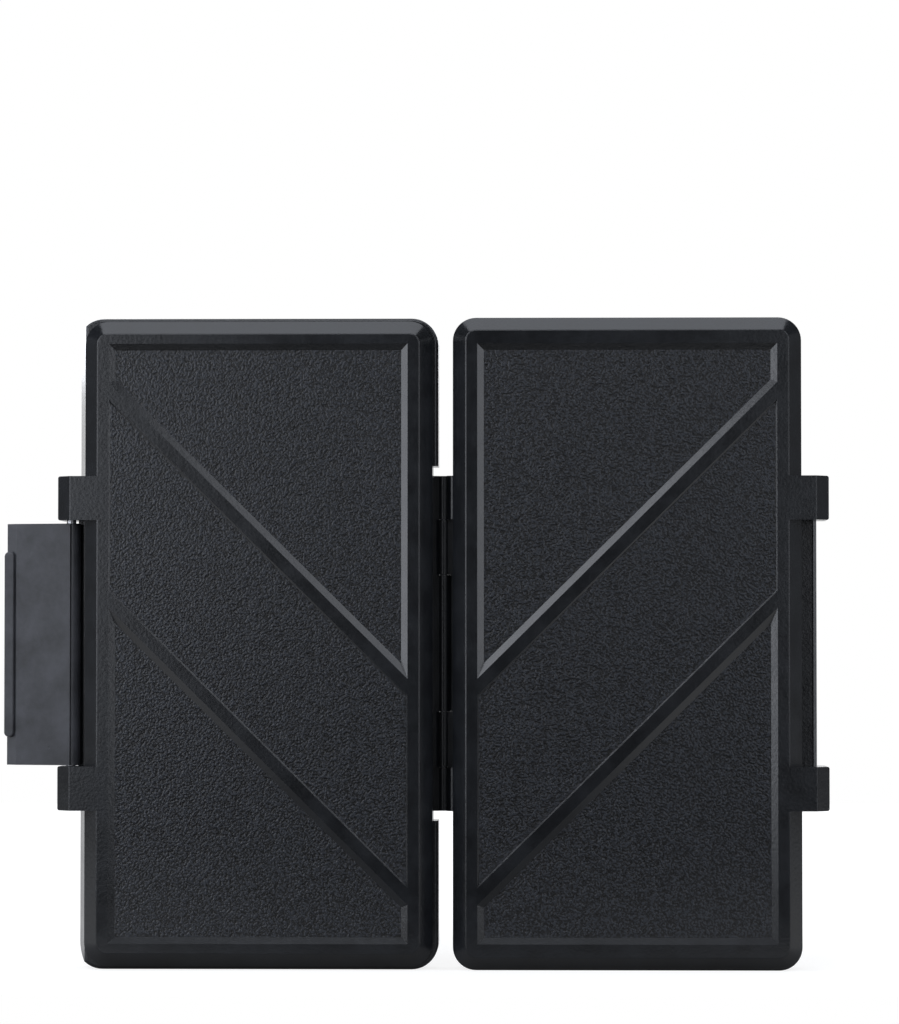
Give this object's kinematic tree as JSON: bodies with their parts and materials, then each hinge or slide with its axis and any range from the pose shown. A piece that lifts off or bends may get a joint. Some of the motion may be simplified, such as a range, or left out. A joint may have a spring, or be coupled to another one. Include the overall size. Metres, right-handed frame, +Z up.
{
  "type": "memory card case",
  "caption": "Hard clamshell case for memory cards, shown open on edge, with diagonal relief panels, a snap latch on the base, a catch rail on the lid, a seal and soft card trays.",
  "frame": {"origin": "on the floor under the centre of the open case's box, with the case standing on its lower edges", "axes": "+X from the base half to the lid half, +Y from the outer faces to the insides, +Z up along the hinge axis"},
  "size_m": [0.1532, 0.0126, 0.1205],
  "materials": {
    "shell_plastic": "near-black moulded ABS, fine grain on the sunk panels, smooth satin on rims, ridges and ears",
    "latch_plastic": "near-black moulded plastic, smooth satin",
    "pin_steel": "drawn steel wire",
    "seal_silicone": "matt dark grey silicone",
    "tray_elastomer": "matt black soft moulded elastomer"
  },
  "bodies": {
    "base": {"base_shell": "shell_plastic", "base_card_tray": "tray_elastomer", "latch_pin": "pin_steel", "hinge_pin_upper": "pin_steel", "hinge_pin_lower": "pin_steel"},
    "lid": {"lid_shell": "shell_plastic", "lid_card_tray": "tray_elastomer", "seal_ring": "seal_silicone"},
    "latch": {"latch": "latch_plastic"}
  },
  "joints": [
    {"name": "lid_hinge", "type": "hinge", "parent": "base", "child": "lid", "pos_m": [0.00531, 0.00465, 0.06025], "axis": [0, 0, 1], "range_deg": [0, 180]},
    {"name": "latch_pivot", "type": "hinge", "parent": "base", "child": "latch", "pos_m": [-0.06397, 0.00025, 0.06025], "axis": [0, 0, -1], "range_deg": [-80, 75]}
  ]
}
